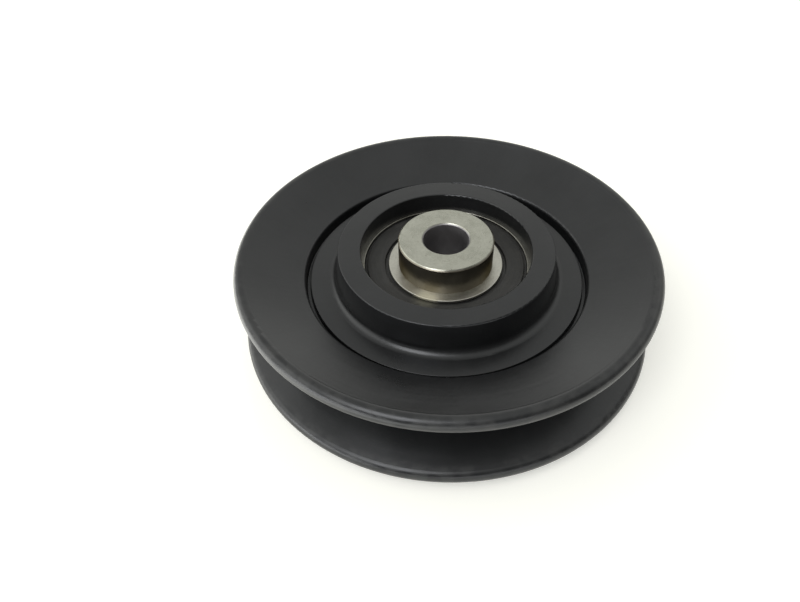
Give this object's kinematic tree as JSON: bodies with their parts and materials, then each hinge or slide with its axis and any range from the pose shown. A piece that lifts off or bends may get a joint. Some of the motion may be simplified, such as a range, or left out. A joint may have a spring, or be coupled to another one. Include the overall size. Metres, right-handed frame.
{
  "type": "belt tensioner idler pulley",
  "caption": "V-belt idler pulley of two black moulded halves round a sealed ball bearing, with a stepped steel spacer and bolt bore.",
  "frame": {"origin": "on the bolt axis, midway between the two rims, in the middle plane of the belt groove", "axes": "+Z along the bolt axis towards the front, +X and +Y in the belt's plane"},
  "size_m": [0.09, 0.09, 0.0248],
  "materials": {
    "black_nylon": "satin moulded glass-filled nylon",
    "bearing_steel": "ground",
    "ball_steel": "polished",
    "seal_rubber": "moulded",
    "sheet_steel": "pressed",
    "spacer_steel": "turned"
  },
  "bodies": {
    "spindle": {"inner_ring": "bearing_steel", "front_spacer": "spacer_steel", "rear_spacer": "spacer_steel"},
    "pulley": {"front_half": "black_nylon", "rear_half": "black_nylon", "outer_ring": "bearing_steel", "front_seal_rubber": "seal_rubber", "rear_seal_rubber": "seal_rubber", "front_seal_insert": "sheet_steel", "rear_seal_insert": "sheet_steel"},
    "cage": {"cage_front": "sheet_steel", "cage_rear": "sheet_steel", "cage_rivets": "sheet_steel"},
    "ball_1": {"ball_1": "ball_steel"},
    "ball_2": {"ball_2": "ball_steel"},
    "ball_3": {"ball_3": "ball_steel"},
    "ball_4": {"ball_4": "ball_steel"},
    "ball_5": {"ball_5": "ball_steel"},
    "ball_6": {"ball_6": "ball_steel"},
    "ball_7": {"ball_7": "ball_steel"},
    "ball_8": {"ball_8": "ball_steel"}
  },
  "joints": [
    {"name": "pulley_spin", "type": "hinge", "parent": "spindle", "child": "pulley", "pos_m": [0, 0, 0], "axis": [0, 0, 1], "continuous": true},
    {"name": "cage_spin", "type": "hinge", "parent": "spindle", "child": "cage", "pos_m": [0, 0, 0], "axis": [0, 0, 1], "continuous": true},
    {"name": "ball_1_spin", "type": "hinge", "parent": "cage", "child": "ball_1", "pos_m": [0.01425, 0, 0], "axis": [0, 0, 1], "continuous": true},
    {"name": "ball_2_spin", "type": "hinge", "parent": "cage", "child": "ball_2", "pos_m": [0.01008, 0.01008, 0], "axis": [0, 0, 1], "continuous": true},
    {"name": "ball_3_spin", "type": "hinge", "parent": "cage", "child": "ball_3", "pos_m": [0, 0.01425, 0], "axis": [0, 0, 1], "continuous": true},
    {"name": "ball_4_spin", "type": "hinge", "parent": "cage", "child": "ball_4", "pos_m": [-0.01008, 0.01008, 0], "axis": [0, 0, 1], "continuous": true},
    {"name": "ball_5_spin", "type": "hinge", "parent": "cage", "child": "ball_5", "pos_m": [-0.01425, 0, 0], "axis": [0, 0, 1], "continuous": true},
    {"name": "ball_6_spin", "type": "hinge", "parent": "cage", "child": "ball_6", "pos_m": [-0.01008, -0.01008, 0], "axis": [0, 0, 1], "continuous": true},
    {"name": "ball_7_spin", "type": "hinge", "parent": "cage", "child": "ball_7", "pos_m": [0, -0.01425, 0], "axis": [0, 0, 1], "continuous": true},
    {"name": "ball_8_spin", "type": "hinge", "parent": "cage", "child": "ball_8", "pos_m": [0.01008, -0.01008, 0], "axis": [0, 0, 1], "continuous": true}
  ],
  "couplings": [
    {"joint": "cage_spin", "follows": "pulley_spin", "ratio": 0.61837},
    {"joint": "ball_1_spin", "follows": "pulley_spin", "ratio": 1.9937},
    {"joint": "ball_2_spin", "follows": "pulley_spin", "ratio": 1.9937},
    {"joint": "ball_3_spin", "follows": "pulley_spin", "ratio": 1.9937},
    {"joint": "ball_4_spin", "follows": "pulley_spin", "ratio": 1.9937},
    {"joint": "ball_5_spin", "follows": "pulley_spin", "ratio": 1.9937},
    {"joint": "ball_6_spin", "follows": "pulley_spin", "ratio": 1.9937},
    {"joint": "ball_7_spin", "follows": "pulley_spin", "ratio": 1.9937},
    {"joint": "ball_8_spin", "follows": "pulley_spin", "ratio": 1.9937}
  ]
}
